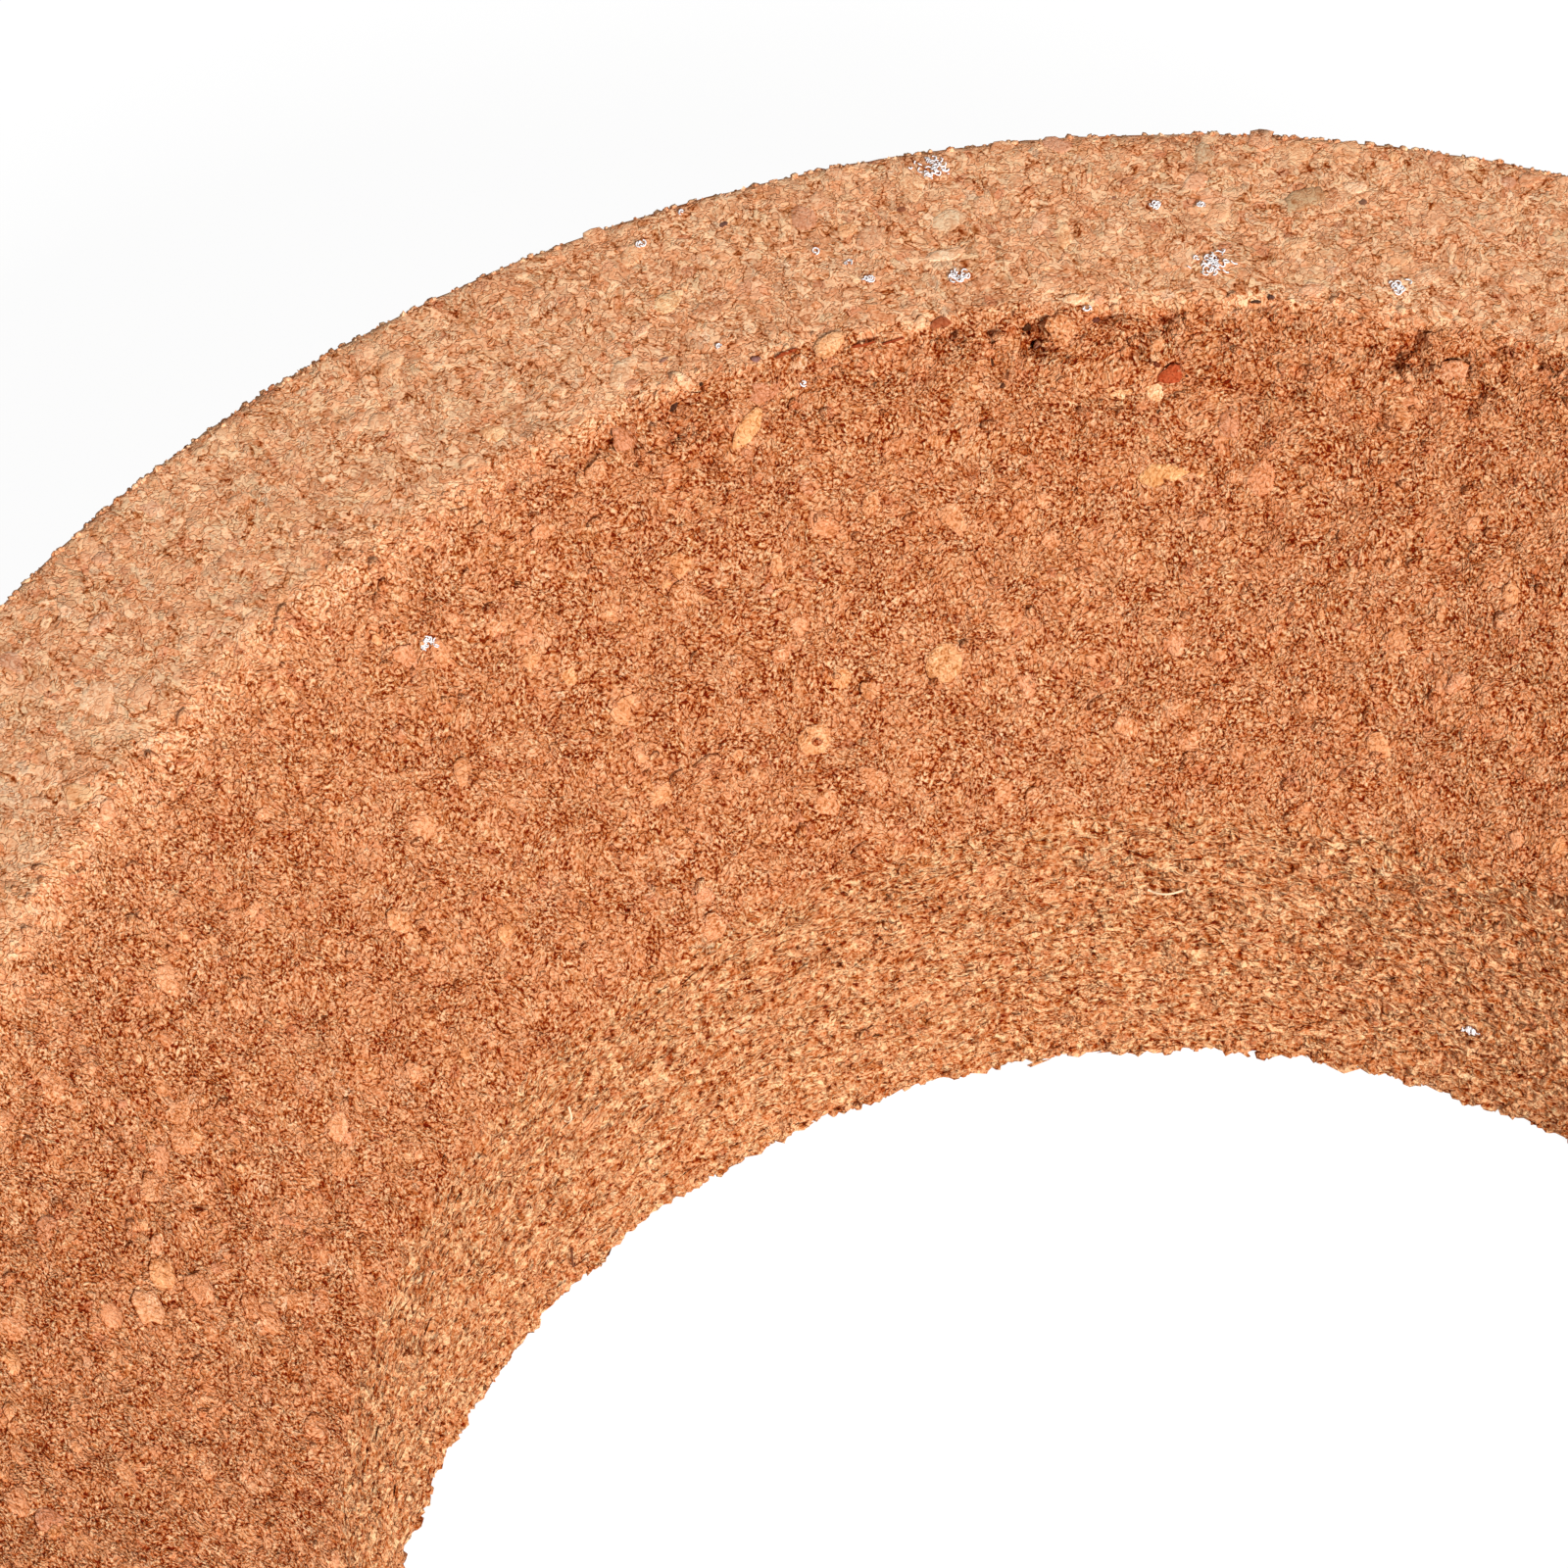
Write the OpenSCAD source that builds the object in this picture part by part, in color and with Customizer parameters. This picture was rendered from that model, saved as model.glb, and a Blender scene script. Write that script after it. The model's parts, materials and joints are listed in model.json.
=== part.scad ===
// Cork ring: a round stand for a round-bottomed flask.
// One piece of agglomerated cork, turned to a plain section: a flat base, a straight
// outer wall, a flat rim, a conical seat that falls inwards from the rim, and a bore.
// Millimetres. The origin is the centre of the base, and +Z is the ring's axis.

/* [Ring] */
// Outer diameter of the ring
outer_d = 110; // [86:1:200]
// Height from the base to the rim
height = 30; // [16:1:80]
// Radial width of the flat rim on top
rim_w = 8.8; // [3:0.1:20]

/* [Seat and bore] */
// Depth of the conical seat below the rim
seat_depth = 13.2; // [2:0.1:26]
// Diameter of the straight bore below the seat
bore_d = 62.2; // [20:0.1:86]

/* [Edges] */
// Rounding of the outer edges, at the rim and at the base
outer_edge_r = 0.5; // [0.1:0.05:2]
// Rounding of the worn edge between the rim and the seat
rim_edge_r = 2; // [0.1:0.1:5]
// Rounding of the torn edge between the seat and the bore
throat_edge_r = 2.5; // [0.1:0.1:5]
// Rounding of the bore's lower edge
bore_edge_r = 0.4; // [0.1:0.05:2]

/* [Hidden] */

// Facets round the whole ring
ring_facets = 180;
// Straight steps along each rounded edge of the section
edge_steps = 6;

outer_r = outer_d / 2;
bore_r = bore_d / 2;
mouth_r = outer_r - rim_w;
throat_z = height - seat_depth;

// Corners of the section, anticlockwise from the base's outer edge: [radius, z]
section_corners = [
    [outer_r, 0],
    [outer_r, height],
    [mouth_r, height],
    [bore_r, throat_z],
    [bore_r, 0],
];
// Rounding of each corner, in the same order
corner_radii = [outer_edge_r, outer_edge_r, rim_edge_r, throat_edge_r, bore_edge_r];

// Unit vector from a to b
function direction(a, b) = (b - a) / norm(b - a);

// Points of the arc that rounds the corner at p between its neighbours a and b.
// The tangent points stay within half of each neighbouring side.
function rounded_corner(a, p, b, r) =
    let (
        to_a = direction(p, a),
        to_b = direction(p, b),
        half_angle = acos(to_a * to_b) / 2,
        room = min(norm(a - p), norm(b - p)) / 2,
        tangent = min(r / tan(half_angle), room),
        arc_r = tangent * tan(half_angle),
        centre = p + direction([0, 0], to_a + to_b) * arc_r / sin(half_angle),
        start = p + to_a * tangent - centre,
        sweep = 180 - 2 * half_angle
    )
    [for (i = [0:edge_steps])
        let (turn = sweep * i / edge_steps)
        centre + [
            start.x * cos(turn) - start.y * sin(turn),
            start.x * sin(turn) + start.y * cos(turn),
        ]];

// The ring's half section, with its edges rounded
module section() {
    corners = len(section_corners);
    polygon([for (i = [0:corners - 1])
        each rounded_corner(
            section_corners[(i + corners - 1) % corners],
            section_corners[i],
            section_corners[(i + 1) % corners],
            corner_radii[i]
        )]);
}

module cork_ring() {
    color("peru") rotate_extrude($fn = ring_facets) section();
}

cork_ring();
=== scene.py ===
"""Cork ring: a stand for a round-bottomed flask, turned from one block of agglomerated cork.

The ring is one closed mesh, revolved from its section, with its coarse relief (torn granules, pits, the
ridges of the bore) moved into the mesh. Crumbs, lumps, granules, lint and fibres are small solids on it.
Fields work in millimetres on the shapes before their relief, kept in the mesh attribute "rest".
"""

import json
import math

import bpy
import numpy as np
from mathutils import Matrix, Vector


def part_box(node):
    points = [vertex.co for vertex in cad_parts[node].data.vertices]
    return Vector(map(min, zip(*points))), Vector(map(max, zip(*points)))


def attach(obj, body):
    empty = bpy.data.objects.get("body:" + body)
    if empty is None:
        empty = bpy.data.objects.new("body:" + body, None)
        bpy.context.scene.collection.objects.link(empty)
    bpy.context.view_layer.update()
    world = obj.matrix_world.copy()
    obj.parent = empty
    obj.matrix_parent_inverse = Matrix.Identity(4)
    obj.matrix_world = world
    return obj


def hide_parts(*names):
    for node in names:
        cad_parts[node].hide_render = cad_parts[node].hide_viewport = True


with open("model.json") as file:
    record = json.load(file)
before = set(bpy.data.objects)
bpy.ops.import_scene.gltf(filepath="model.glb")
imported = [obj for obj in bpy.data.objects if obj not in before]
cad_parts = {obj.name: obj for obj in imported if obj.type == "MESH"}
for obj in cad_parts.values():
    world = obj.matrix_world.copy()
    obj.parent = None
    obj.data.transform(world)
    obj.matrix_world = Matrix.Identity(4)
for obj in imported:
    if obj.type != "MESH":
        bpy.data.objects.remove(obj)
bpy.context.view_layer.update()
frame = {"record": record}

MM = 0.001

# Sizes of the ring, in millimetres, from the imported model
mounts = {mount["name"]: mount for mount in frame["record"]["mounts"]}
low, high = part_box("cork_ring")
OUTER_R = min(high.x, high.y, -low.x, -low.y) / MM
HEIGHT = high.z / MM
BORE_R = mounts["bore"]["dims"]["r_mm"]
THROAT_Z = mounts["flask_seat"]["pos_m"][2] / MM
# Those that the frame doesn't state, as in the part's source
RIM_W = 8.8
OUTER_EDGE_R = 0.5
RIM_EDGE_R = 2.0
THROAT_EDGE_R = 2.5
BORE_EDGE_R = 0.4
MOUTH_R = OUTER_R - RIM_W

# Places along the section, in millimetres from the rim's outer edge: down the seat and the bore, under
# the base and up the outer wall
SEAT_START = RIM_W
BORE_START = SEAT_START + math.hypot(MOUTH_R - BORE_R, HEIGHT - THROAT_Z)
BASE_START = BORE_START + THROAT_Z
WALL_START = BASE_START + OUTER_R - BORE_R
SECTION_END = WALL_START + HEIGHT


# ------------ camera, light and floor

# Lengths are in millimetres, and the key light's power in watts
CAMERA_LENS = 175.8
CAMERA_DISTANCE = 270.0
CAMERA_ELEVATION = math.radians(58.73)
CAMERA_AIM = (-16.56, 22.21)
CAMERA_ROLL = math.radians(-1.65)
KEY_PLACE = (295, -410, 370)
KEY_SIZE = 260
KEY_POWER = 5.9
# Light from all round, as a share of the white that the camera sees behind the ring
WORLD_LIGHT = 0.3
# Half the side of the floor, in metres
FLOOR_REACH = 3.0
FLOOR_COLOUR = (0.9, 0.9, 0.9)
# The floor's own glow, and its share in what the camera sees of the floor. The rest shows the shadow
FLOOR_GLOW = 1.1
FLOOR_GLOW_SHARE = 0.85


def add_object(name, data):
    """A new object in the scene."""
    made = bpy.data.objects.new(name, data)
    bpy.context.scene.collection.objects.link(made)
    return made


def aimed(place, aim, roll=0):
    """The matrix of a camera or a lamp at a place, turned to a point, both in millimetres."""
    turn = (aim - place).to_track_quat("-Z", "Y").to_matrix() @ Matrix.Rotation(roll, 3, "Z")
    return Matrix.Translation(place * MM) @ turn.to_4x4()


def add_camera():
    """Looks down on the far left part of the ring, from the height of the photographer."""
    back = Vector((0, -math.cos(CAMERA_ELEVATION), math.sin(CAMERA_ELEVATION)))
    place = Vector((0, 0, HEIGHT)) + CAMERA_DISTANCE * back
    data = bpy.data.cameras.new("camera")
    data.lens = CAMERA_LENS
    data.clip_start = 0.01
    camera = add_object("camera", data)
    camera.matrix_world = aimed(place, Vector((*CAMERA_AIM, HEIGHT)), CAMERA_ROLL)
    bpy.context.scene.camera = camera


def add_key_light():
    """A square softbox, turned to the ring."""
    data = bpy.data.lights.new("key", "AREA")
    data.size = KEY_SIZE * MM
    data.energy = KEY_POWER
    lamp = add_object("key", data)
    lamp.matrix_world = aimed(Vector(KEY_PLACE), Vector((0, 0, HEIGHT)))


add_camera()
add_key_light()


# ------------ fields in node trees


class Field:
    """A value in a node tree. Arithmetic on it adds Math nodes."""

    def __init__(self, tree, socket):
        self.tree = tree
        self.socket = socket

    def math(self, operation, *others):
        """A Math node on this value and others."""
        node = self.tree.nodes.new("ShaderNodeMath")
        node.operation = operation
        for socket, value in zip(node.inputs, (self, *others)):
            feed(self.tree, socket, value)
        return Field(self.tree, node.outputs[0])

    def __add__(self, other):
        return self.math("ADD", other)

    def __sub__(self, other):
        return self.math("SUBTRACT", other)

    def __mul__(self, other):
        return self.math("MULTIPLY", other)

    __radd__ = __add__
    __rmul__ = __mul__

    def __rsub__(self, other):
        node = self.tree.nodes.new("ShaderNodeMath")
        node.operation = "SUBTRACT"
        node.inputs[0].default_value = other
        feed(self.tree, node.inputs[1], self)
        return Field(self.tree, node.outputs[0])

    def step(self, start, end):
        """Rises smoothly from 0 at start to 1 at end. Falls where start is the larger."""
        node = self.tree.nodes.new("ShaderNodeMapRange")
        node.interpolation_type = "SMOOTHSTEP"
        feed(self.tree, node.inputs["Value"], self)
        feed(self.tree, node.inputs["From Min"], start)
        feed(self.tree, node.inputs["From Max"], end)
        return Field(self.tree, node.outputs["Result"])


def feed(tree, socket, value):
    """Links a field to a socket, or sets the socket to a plain value."""
    if isinstance(value, Field):
        tree.links.new(value.socket, socket)
    else:
        socket.default_value = value


def vector_math(operation, *values, output="Vector"):
    """Vector arithmetic on fields and plain vectors, the first of them a field."""
    tree = values[0].tree
    node = tree.nodes.new("ShaderNodeVectorMath")
    node.operation = operation
    for socket, value in zip(node.inputs, values):
        feed(tree, socket, value)
    return Field(tree, node.outputs[output])


def noise(point, wavelength, detail=2.0, roughness=0.5, output="Fac"):
    """Soft noise from 0 to 1, about 0.5 on average."""
    tree = point.tree
    node = tree.nodes.new("ShaderNodeTexNoise")
    feed(tree, node.inputs["Vector"], point)
    node.inputs["Scale"].default_value = 1 / wavelength
    node.inputs["Detail"].default_value = detail
    node.inputs["Roughness"].default_value = roughness
    return Field(tree, node.outputs[output])


def warped(point, wavelength, reach):
    """A point moved by up to about half of reach, by noise of a wavelength."""
    wave = noise(point, wavelength, 0, output="Color")
    return vector_math("MULTIPLY_ADD", wave, (reach,) * 3, point)


def voronoi(point, size, feature, *outputs):
    """Fields for some outputs of a pattern of cells of a size."""
    tree = point.tree
    node = tree.nodes.new("ShaderNodeTexVoronoi")
    node.feature = feature
    feed(tree, node.inputs["Vector"], point)
    node.inputs["Scale"].default_value = 1 / size
    return [Field(tree, node.outputs[output]) for output in outputs]


def cells(point, size):
    """Granules as cells of a size: the distance from a cell's centre, in cells, and three random values."""
    reach, colour = voronoi(point, size, "F1", "Distance", "Color")
    return reach, split(colour)


def facets(point, size):
    """The same for small flakes, and how far a point is up the slope of its own flake."""
    reach, colour, centre = voronoi(point, size, "F1", "Distance", "Color", "Position")
    tilt = vector_math("SUBTRACT", colour, (0.5, 0.5, 0.5))
    slope = vector_math("DOT_PRODUCT", vector_math("SUBTRACT", point, centre), tilt, output="Value")
    return reach, split(colour), slope


def mixed_values(fac, first, second):
    """Mixes two values by a field."""
    return first + fac * (second - first)


def ramp(fac, stops):
    """Colours along a field: (place, linear colour) pairs."""
    node = fac.tree.nodes.new("ShaderNodeValToRGB")
    feed(fac.tree, node.inputs[0], fac)
    points = node.color_ramp.elements
    while len(points) < len(stops):
        points.new(0.5)
    for point, (place, colour) in zip(points, stops):
        point.position = place
        point.color = (*colour, 1)
    return Field(fac.tree, node.outputs[0])


def mixed(fac, first, second, blend="MIX"):
    """Mixes two colours by a field."""
    tree = (fac if isinstance(fac, Field) else first).tree
    node = tree.nodes.new("ShaderNodeMix")
    node.data_type = "RGBA"
    node.blend_type = blend
    node.clamp_result = False
    feed(tree, node.inputs[0], fac)
    for socket, value in zip((node.inputs[6], node.inputs[7]), (first, second)):
        feed(tree, socket, (*value, 1) if isinstance(value, tuple) else value)
    return Field(tree, node.outputs[2])


def attribute(tree, name, output="Fac"):
    """A value kept in the mesh's points."""
    node = tree.nodes.new("ShaderNodeAttribute")
    node.attribute_name = name
    return Field(tree, node.outputs[output])


def split(vector):
    """The three numbers of a vector."""
    node = vector.tree.nodes.new("ShaderNodeSeparateXYZ")
    feed(vector.tree, node.inputs[0], vector)
    return [Field(vector.tree, out) for out in node.outputs]


# ------------ the ring's zones and relief

# From which x to which the rim's inner edge is worn round, so that the rim fades into the seat. On that
# side the rim and the band below it are also drawn lighter, as painted light
WORN_START = -18
WORN_FULL = -36
# How far the outer edges are worn, and how deep the rim, the wall and the base lie below the solid's own
EDGE_WEAR = 0.09
SINK = 0.14


def zones(rest, along):
    """How far a point belongs to the rim, the seat, the bore, the plain faces and the bands by the rim, one
    of which is painted lighter.
    """
    edge = along + 2.4 * noise(rest, 2.2, 3, 0.6) - 1.2
    place = along + 1.2 * noise(rest, 1.6, 3) - 0.6
    worn = split(rest)[0].step(WORN_START, WORN_FULL)
    rim = edge.step(SEAT_START + 0.45 + 2.2 * worn, SEAT_START - 0.35 - 1.2 * worn)
    bore = place.step(BORE_START - 0.5, BORE_START + 0.5) * along.step(BASE_START + 0.1, BASE_START - 0.2)
    plain = along.step(BASE_START - 0.2, BASE_START + 0.1)
    seat = 1 - rim - bore - plain
    crumble = seat * edge.step(SEAT_START + 7, SEAT_START - 1) * (1 - 0.7 * worn)
    # On the worn side the rim and the band below it are drawn paler and lighter: partly wear, partly
    # painted light
    faded = worn * edge.step(SEAT_START + 6, SEAT_START - 1)
    zone = {"rim": rim, "seat": seat, "bore": bore, "plain": plain}
    return zone | {"crumble": crumble, "faded": faded, "along": along}


def hollows(rest, zone):
    """How deep a point lies in the pits where granules broke out below the rim, from 0 to 1."""
    return noise(rest, 1.1, 3, 0.65).step(0.44, 0.34) * zone["crumble"].step(0.1, 0.8)


def coarse_relief(rest, zone):
    """Height in millimetres, outwards, of what is large enough to be in the mesh."""
    rough = zone["seat"] + zone["bore"]
    swell = (noise(rest, 7, 2) - 0.5) * 0.25 * rough
    reach, tints = cells(warped(rest, 1.0, 0.6), 0.9)
    torn = (tints[0] - 0.5) * reach.step(0.75, 0.3) * 0.2 * rough
    ledge = zone["crumble"].step(0.55, 0.8) * -0.15
    pits = hollows(rest, zone) * -0.7
    along_wall = vector_math("MULTIPLY", rest, (0.4, 0.4, 1.0))
    ridges = (noise(along_wall, 0.5, 3, 0.6) - 0.5) * 0.8 * zone["bore"]
    lip = zone["along"].step(BASE_START - 1.6, BASE_START - 0.3) * zone["bore"]
    teeth = (noise(rest, 0.9, 1) - 0.5) * 0.5 * lip
    flat = zone["plain"] + zone["rim"]
    edge = zone["along"].step(0.8, 0.2) + zone["along"].step(SECTION_END - 0.8, SECTION_END - 0.2)
    wear = noise(rest, 1.2, 3, 0.6).step(0.75, 0.25) * -EDGE_WEAR * edge
    return swell + torn + ledge + pits + ridges + teeth + wear - SINK * flat


# ------------ cork


def linear(*screen):
    """A linear colour from screen values of 0 to 255."""
    shares = [value / 255 for value in screen]
    return tuple(v / 12.92 if v < 0.041 else ((v + 0.055) / 1.055) ** 2.4 for v in shares)


WHITE = (1.0, 1.0, 1.0)
# Sizes of the chips in the cork and of the flakes in a chip, in millimetres
CHIP_SIZE = 0.85
FLAKE_SIZE = 0.4
CORK_GLOSS = 0.05
BASE_TONE = 0.515
# Colours of cork from its darkest gaps to its palest granules: raw where it is torn, dusty where sanded
RAW_TONES = (
    (0.0, linear(108, 22, 0)),
    (0.2, linear(156, 73, 22)),
    (0.4, linear(185, 108, 62)),
    (0.6, linear(203, 139, 98)),
    (0.8, linear(222, 163, 121)),
    (1.0, linear(238, 189, 145)),
)
SANDED_TONES = (
    (0.0, linear(128, 46, 4)),
    (0.2, linear(172, 98, 50)),
    (0.4, linear(203, 127, 81)),
    (0.6, linear(224, 153, 109)),
    (0.8, linear(240, 178, 134)),
    (1.0, linear(251, 201, 158)),
)
BORE_TINT = (1.0, 1.03, 0.98)
# Painted shade: the base and the outer wall are drawn darker, because of how the key light falls on the
# wall
WALL_PAINTED_SHADE = (0.8, 0.8, 0.8)
# What the flakes multiply these colours by
TINTS = (
    (0.0, (0.86, 0.7, 0.66)),
    (0.06, (0.97, 0.9, 0.84)),
    (0.3, (1.0, 0.97, 0.94)),
    (0.55, (1.0, 1.01, 1.0)),
    (0.8, (0.99, 1.04, 1.0)),
    (0.95, (1.01, 1.06, 1.07)),
    (1.0, (0.98, 1.08, 1.18)),
)


class CorkFields:
    """The fields that the cork's colour and its bump share."""

    def __init__(self, tree):
        rest = attribute(tree, "rest", "Vector")
        short = warped(attribute(tree, "flow", "Vector"), 0.3, 0.15)
        ragged = warped(short, 0.1, 0.07)
        self.bore, self.sanded, self.faded = split(attribute(tree, "zone", "Vector"))
        # Where the base and the outer wall are, which the colour darkens as painted shade
        self.wall = attribute(tree, "along").step(BASE_START, BASE_START + 0.5)
        self.hollow = attribute(tree, "hollow")
        self.smooth = attribute(tree, "smooth")
        self.shade = attribute(tree, "shade")
        self.hue = attribute(tree, "hue", "Color")
        self.calm = (1 - 0.35 * self.smooth) * (1 - 0.25 * attribute(tree, "bit"))
        self.add_granules(rest, ragged)
        self.add_noise(rest, short)

    def add_granules(self, rest, ragged):
        """Chips of cork with dark outlines, the flakes they are made of, and the seams between flakes."""
        reach, self.chip = cells(ragged, CHIP_SIZE)
        self.fleck = reach.step(0.2, 0.12) * self.chip[1].step(0.75, 0.8)
        self.plate = self.chip[2].step(0.46, 0.5) * (1 - 0.6 * self.bore)
        self.patchy = noise(rest, 0.6, 2).step(0.36, 0.62)
        broken = noise(rest, 0.45, 1).step(0.42, 0.6)
        gap = voronoi(ragged, CHIP_SIZE, "F2", "Distance")[0] - reach
        self.outline = gap.step(0.08, 0.0) * broken * (1 - 0.7 * self.smooth)
        reach, self.flake, self.facet = facets(ragged, FLAKE_SIZE)
        self.seam = reach.step(0.62, 0.8) * (1 - broken) * self.patchy

    def add_noise(self, rest, short):
        """Grain of several sizes, the thin creases in it, and long creases round the bore. The colour
        darkens both kinds of crease as painted shade.
        """
        coarse = noise(short, 0.3, 1) - 0.5
        shred = noise(vector_math("MULTIPLY", short, (0.7, 0.7, 1.0)), 0.2, 1, 0.6) - 0.5
        fold = noise(vector_math("MULTIPLY", short, (0.6, 0.6, 1.0)), 0.55, 1) - 0.5
        self.fine = noise(rest, 0.11, 1, 0.75) - 0.5
        self.lump = noise(short, 0.12, 1) - 0.5
        self.worm = coarse.math("ABSOLUTE").step(0.05, 0.0) * (1 - 0.6 * self.smooth) * (1 - self.bore)
        self.crease = fold.math("ABSOLUTE").step(0.045, 0.0) * self.bore
        raw = mixed_values(self.bore, self.lump, shred * 0.8 + self.lump * 0.4)
        self.grain = mixed_values(self.sanded, raw, coarse * 0.6 + self.lump * 0.7)
        sleek = noise(rest, 1.9, 1).step(0.42, 0.6) * self.sanded
        patches = (1.12 - 0.4 * self.plate) * (0.78 + 0.3 * self.patchy) * (1 - 0.3 * sleek)
        self.rough = self.calm * patches * (1 - 0.2 * self.sanded)


def cork_colour(cork):
    """The cork's colour: a tone from dark gaps to pale granules, and the tints of the granules."""
    tone = (
        BASE_TONE
        + cork.shade
        + cork.plate * 0.03
        - cork.fleck * (0.16 + 0.16 * cork.sanded)
        # painted shade in the pits below the rim and in the cavities
        - cork.hollow * 0.12
        # painted shade in the bore's creases
        - cork.crease * 0.2
        # painted shade in the thin creases
        - cork.worm * (0.4 - 0.18 * cork.sanded)
        + (cork.grain * (1.7 + 0.9 * cork.sanded + 0.8 * cork.bore) + cork.fine * 1.4) * cork.rough
        # painted shade in the low parts of the grain
        - cork.lump.step(-0.1, -0.22) * 0.15 * cork.rough
        + (cork.chip[0] - 0.5) * (0.075 + 0.1 * cork.sanded)
        + (cork.flake[0] - 0.5) * (0.075 + 0.06 * cork.sanded)
        - cork.outline * (0.3 + 0.25 * cork.sanded) * (1 - 0.5 * cork.bore)
        - cork.seam * (0.2 + 0.1 * cork.sanded)
        + cork.patchy * 0.04
        + cork.sanded * 0.22
        # painted light: the worn side by the rim is a little lighter
        + cork.faded * 0.015
        + cork.bore * 0.04
    )
    # On the worn side the seat below the rim takes paler sanded colours: partly wear, partly painted light
    raw = mixed_values(cork.smooth, mixed_values(cork.faded, cork.plate * 0.4, 0.7), 1.0)
    dusty = mixed_values(cork.sanded, raw, 1.0)
    colour = mixed(dusty, ramp(tone, RAW_TONES), ramp(tone, SANDED_TONES))
    tint = mixed(cork.smooth, ramp(cork.flake[2], TINTS), cork.hue)
    colour = mixed(1.0, colour, tint, "MULTIPLY")
    # The bore's tint, and painted shade that darkens the base and the outer wall
    bore_tint_and_wall_shade = mixed(cork.wall, mixed(cork.bore, WHITE, BORE_TINT), WALL_PAINTED_SHADE)
    return mixed(1.0, colour, bore_tint_and_wall_shade, "MULTIPLY")


def cork_height(cork):
    """Height in millimetres of what is too fine for the mesh."""
    tilted = cork.facet * (0.7 + 0.5 * cork.bore) + (cork.flake[1] - 0.5) * 0.08
    chips = tilted * (1 - 0.5 * cork.sanded) * (1 - 0.7 * cork.smooth)
    grit = cork.grain * (0.16 - 0.12 * cork.sanded + 0.16 * cork.bore)
    return grit * cork.calm * (0.95 - 0.2 * cork.sanded) + chips - cork.crease * 0.05 - cork.worm * 0.03


def plain_material(name, colour, roughness=0.8, gloss=0.2):
    """A dull material of one linear colour, and its shader."""
    material = bpy.data.materials.new(name)
    material.use_nodes = True
    shader = material.node_tree.nodes["Principled BSDF"]
    shader.inputs["Base Color"].default_value = (*colour, 1)
    shader.inputs["Roughness"].default_value = roughness
    shader.inputs["Specular IOR Level"].default_value = gloss
    return material, shader


def cork_material():
    """Agglomerated cork: granules and flakes with thin dark seams, torn in the seat and the bore."""
    material, shader = plain_material("cork", WHITE, roughness=0.9, gloss=CORK_GLOSS)
    tree = material.node_tree
    cork = CorkFields(tree)
    feed(tree, shader.inputs["Base Color"], cork_colour(cork))
    bump = tree.nodes.new("ShaderNodeBump")
    bump.inputs["Strength"].default_value = 1
    bump.inputs["Distance"].default_value = MM
    feed(tree, bump.inputs["Height"], cork_height(cork))
    tree.links.new(bump.outputs["Normal"], shader.inputs["Normal"])
    return material


# ------------ the ring's mesh

# Points on each rounded edge of the section, an odd number
ARC_POINTS = 13


def rounded_section():
    """Points of the section with their outward directions, from the rim's outer edge inwards."""
    corners = [
        (OUTER_R, HEIGHT, OUTER_EDGE_R),
        (MOUTH_R, HEIGHT, RIM_EDGE_R),
        (BORE_R, THROAT_Z, THROAT_EDGE_R),
        (BORE_R, 0, BORE_EDGE_R),
        (OUTER_R, 0, OUTER_EDGE_R),
    ]
    points = []
    for i, (r, z, radius) in enumerate(corners):
        here = np.array((r, z), float)
        to_last = np.array(corners[i - 1][:2], float) - here
        to_next = np.array(corners[(i + 1) % len(corners)][:2], float) - here
        to_last /= np.linalg.norm(to_last)
        to_next /= np.linalg.norm(to_next)
        half = math.acos(to_last @ to_next) / 2
        inward = (to_last + to_next) / np.linalg.norm(to_last + to_next)
        centre = here + inward * radius / math.sin(half)
        start = to_last * radius / math.tan(half) + here - centre
        sweep = math.pi - 2 * half
        for turn in np.linspace(0, sweep, ARC_POINTS):
            c, s = math.cos(turn), math.sin(turn)
            spoke = np.array((start[0] * c - start[1] * s, start[0] * s + start[1] * c))
            points.append(np.array((*(centre + spoke), *(spoke / radius))))
    return np.array(points)


# Points round the ring, an even number. They are denser where the camera is near, and thin out over a blend
COLUMNS = 536
NEAR_AZIMUTH = math.radians(135)
NEAR_REACH = math.radians(76)
NEAR_BLEND = 0.3
NEAR_DENSITY = 3
# From here on, along the base and up the wall, a row has half as many points
COARSE_START = BASE_START + 0.4
# Rows of the mesh: where each stretch of the section starts, and its pitch, in millimetres
ROW_PITCHES = (
    (0, 0.15),
    (1.2, 0.6),
    (SEAT_START - 1.6, 0.2),
    (SEAT_START + 4, 0.33),
    (BORE_START - 1.5, 0.28),
    (BASE_START - 0.8, 0.15),
    (COARSE_START, 2.0),
    (WALL_START - 0.8, 0.2),
    (WALL_START + 0.8, 1.6),
    (SECTION_END - 0.8, 0.2),
)


def section_line():
    """Place along the section, radius, height and outward direction of points all round it."""
    points = rounded_section()
    points = np.roll(points, -(ARC_POINTS // 2), axis=0)
    points = np.vstack((points, points[:1]))
    length = np.concatenate(([0], np.cumsum(np.hypot(*np.diff(points[:, :2], axis=0).T))))
    corner_places = (0, SEAT_START, BORE_START, BASE_START, WALL_START, SECTION_END)
    return np.column_stack((np.interp(length, length[::ARC_POINTS], corner_places), points))


SECTION = section_line()


def wrapped(angle):
    """An angle brought to within half a turn of 0."""
    return (angle + math.pi) % math.tau - math.pi


def radius_at(place):
    """The ring's radius at places along its section."""
    return np.interp(place, SECTION[:, 0], SECTION[:, 1])


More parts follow.
